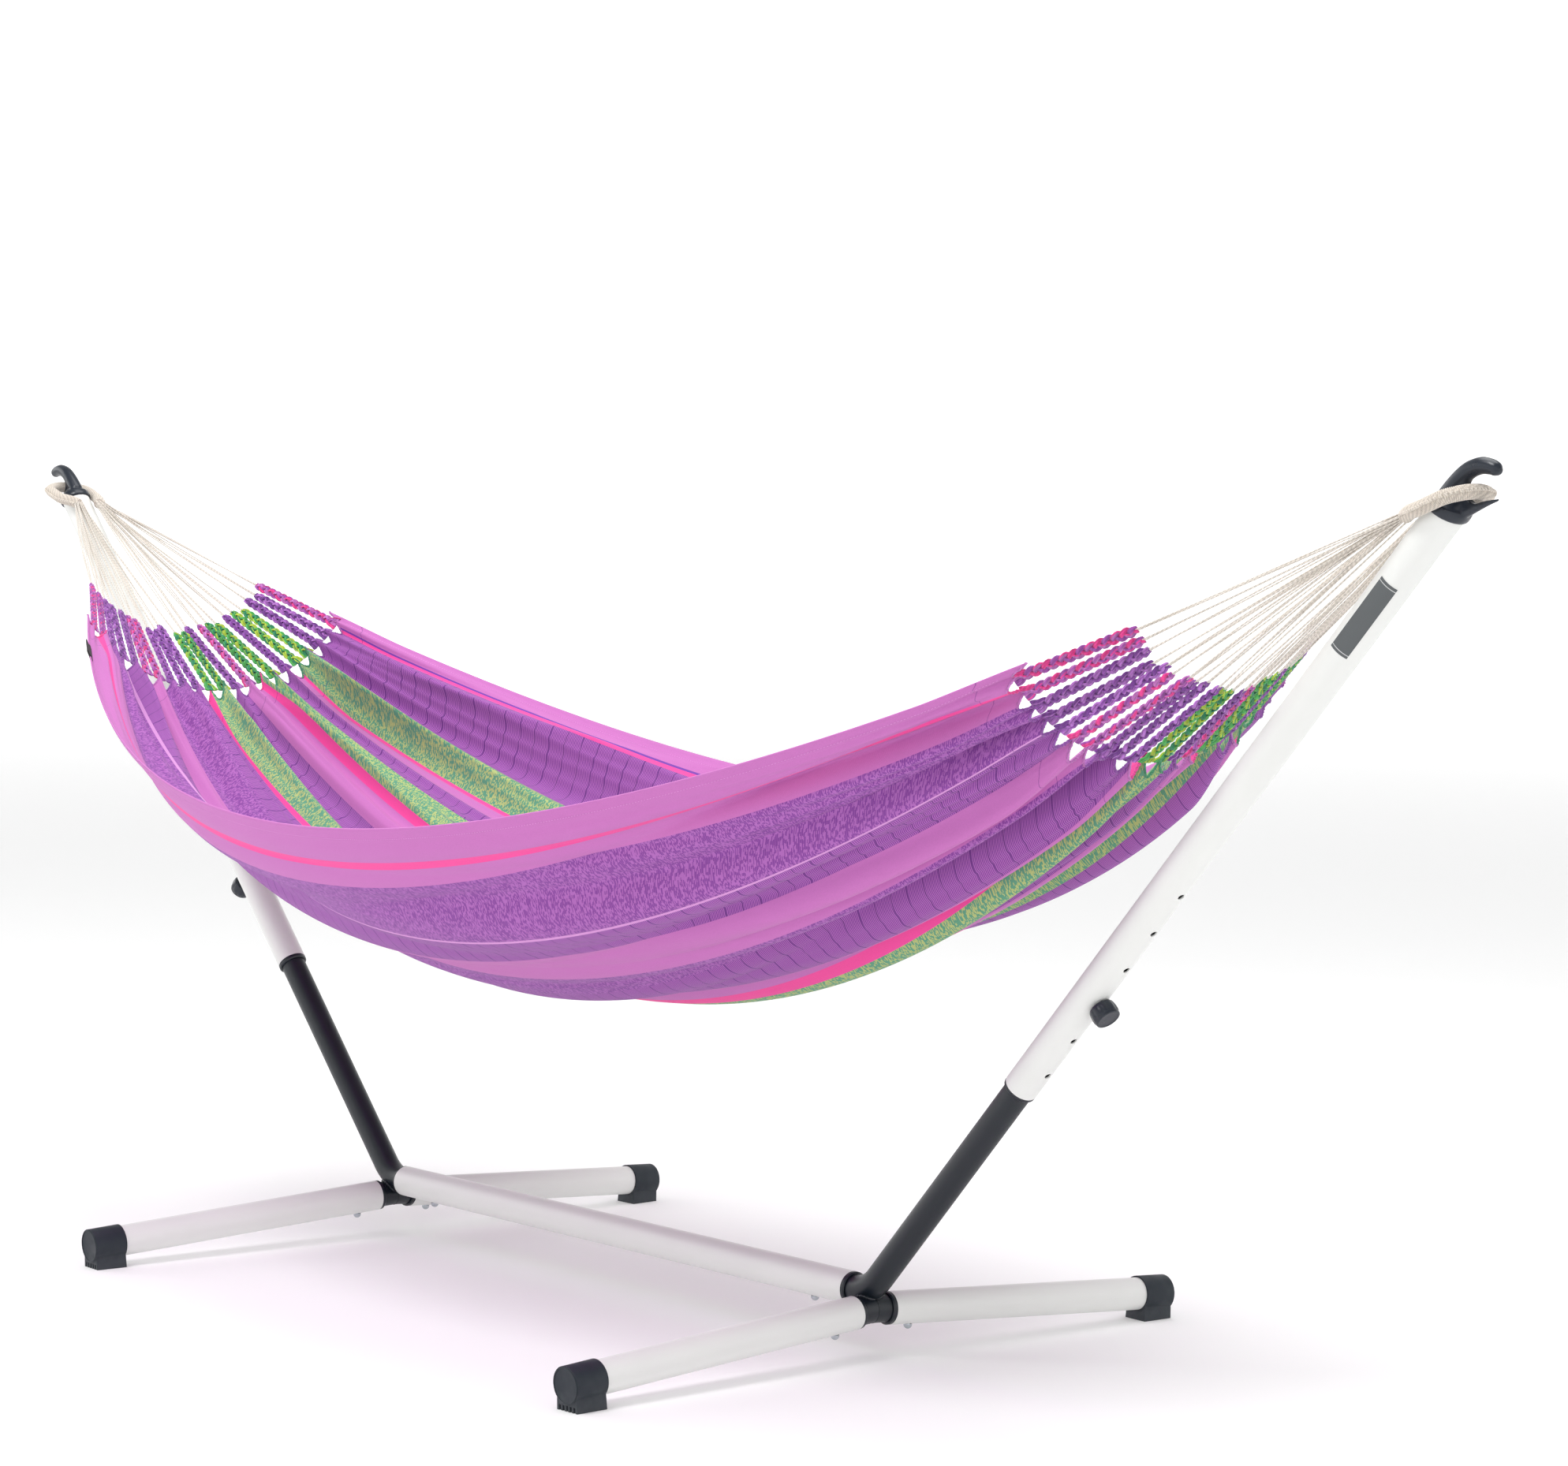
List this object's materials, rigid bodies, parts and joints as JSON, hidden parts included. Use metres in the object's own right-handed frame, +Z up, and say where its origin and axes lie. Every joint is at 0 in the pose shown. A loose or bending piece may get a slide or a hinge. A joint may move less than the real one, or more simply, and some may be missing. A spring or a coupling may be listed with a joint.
{
  "type": "hammock on stand",
  "caption": "Striped cloth hammock with braided ends, hung by rope loops from hooks on the telescopic arms of a tubular steel stand with spread feet.",
  "frame": {"origin": "on the floor, under the middle of the beam", "axes": "+X along the beam towards the right arm, +Y to the rear, +Z up"},
  "size_m": [3.6408, 1.2058, 1.321],
  "materials": {
    "white_steel": "powder coat, satin",
    "dark_steel": "powder coat, satin",
    "dark_plastic": "moulded, satin",
    "foot_rubber": "moulded, matt",
    "bright_steel": "plated",
    "label_print": "matt film",
    "cream_cotton": "twisted cotton",
    "braid_cotton": "braided cotton",
    "striped_cloth": "woven cotton",
    "tag_fabric": "woven tape"
  },
  "bodies": {
    "stand": {"beam_tube": "white_steel", "left_front_foot_tube": "white_steel", "left_rear_foot_tube": "white_steel", "right_front_foot_tube": "white_steel", "right_rear_foot_tube": "white_steel", "left_arm_bend": "dark_steel", "right_arm_bend": "dark_steel", "left_cross_tube": "dark_steel", "right_cross_tube": "dark_steel", "left_beam_collar": "dark_plastic", "right_beam_collar": "dark_plastic", "left_front_collar": "dark_plastic", "left_rear_collar": "dark_plastic", "right_front_collar": "dark_plastic", "right_rear_collar": "dark_plastic", "left_end_plug": "dark_plastic", "right_end_plug": "dark_plastic", "left_front_foot_cap": "foot_rubber", "left_rear_foot_cap": "foot_rubber", "right_front_foot_cap": "foot_rubber", "right_rear_foot_cap": "foot_rubber", "beam_bolts": "bright_steel", "foot_bolts": "bright_steel", "weld_nuts": "bright_steel"},
    "left_arm": {"left_arm_tube": "white_steel", "left_arm_bush": "dark_plastic", "left_hook": "dark_plastic", "left_loop": "cream_cotton"},
    "right_arm": {"right_arm_tube": "white_steel", "right_arm_bush": "dark_plastic", "right_hook": "dark_plastic", "right_loop": "cream_cotton", "arm_label": "label_print"},
    "left_screw": {"left_stud": "bright_steel"},
    "left_grip": {"left_knob": "dark_plastic"},
    "right_screw": {"right_stud": "bright_steel"},
    "right_grip": {"right_knob": "dark_plastic"},
    "left_fan": {"left_strings": "cream_cotton"},
    "hammock": {"hammock_cloth": "striped_cloth", "left_braids": "braid_cotton", "right_braids": "braid_cotton", "edge_tag": "tag_fabric"},
    "right_fan": {"right_strings": "cream_cotton"}
  },
  "joints": [
    {"name": "left_arm_slide", "type": "slide", "parent": "stand", "child": "left_arm", "axis": [-0.6896, 0, 0.7242], "range_m": [-0.15, 0.15]},
    {"name": "right_arm_slide", "type": "slide", "parent": "stand", "child": "right_arm", "axis": [0.6896, 0, 0.7242], "range_m": [-0.15, 0.15]},
    {"name": "hammock_swing", "type": "hinge", "parent": "left_arm", "child": "left_fan", "pos_m": [-1.68202, 0, 1.24688], "axis": [1, 0, 0], "range_deg": [-18, 18]},
    {"name": "left_string_reach", "type": "slide", "parent": "left_fan", "child": "hammock", "axis": [1, 0, 0], "range_m": [-0.1035, 0.1035], "deforming": ["left_strings"]},
    {"name": "right_string_reach", "type": "slide", "parent": "hammock", "child": "right_fan", "axis": [1, 0, 0], "range_m": [-0.1035, 0.1035], "deforming": ["right_strings"]},
    {"name": "left_screw_travel", "type": "slide", "parent": "left_arm", "child": "left_screw", "axis": [-0.7242, 0, -0.6896], "range_m": [0, 0.00385]},
    {"name": "left_knob_turn", "type": "hinge", "parent": "left_screw", "child": "left_grip", "pos_m": [-1.11648, 0, 0.56818], "axis": [-0.7242, 0, -0.6896], "range_deg": [0, 1080]},
    {"name": "right_screw_travel", "type": "slide", "parent": "right_arm", "child": "right_screw", "axis": [0.7242, 0, -0.6896], "range_m": [0, 0.00385]},
    {"name": "right_knob_turn", "type": "hinge", "parent": "right_screw", "child": "right_grip", "pos_m": [1.11648, 0, 0.56818], "axis": [0.7242, 0, -0.6896], "range_deg": [0, 1080]}
  ],
  "couplings": [
    {"joint": "right_arm_slide", "follows": "left_arm_slide", "ratio": 1},
    {"joint": "left_string_reach", "follows": "left_arm_slide", "ratio": 0.68962},
    {"joint": "right_string_reach", "follows": "left_arm_slide", "ratio": 0.68962},
    {"joint": "left_screw_travel", "follows": "left_knob_turn", "m_per_rad": 0.00019894},
    {"joint": "right_screw_travel", "follows": "right_knob_turn", "m_per_rad": 0.00019894}
  ]
}
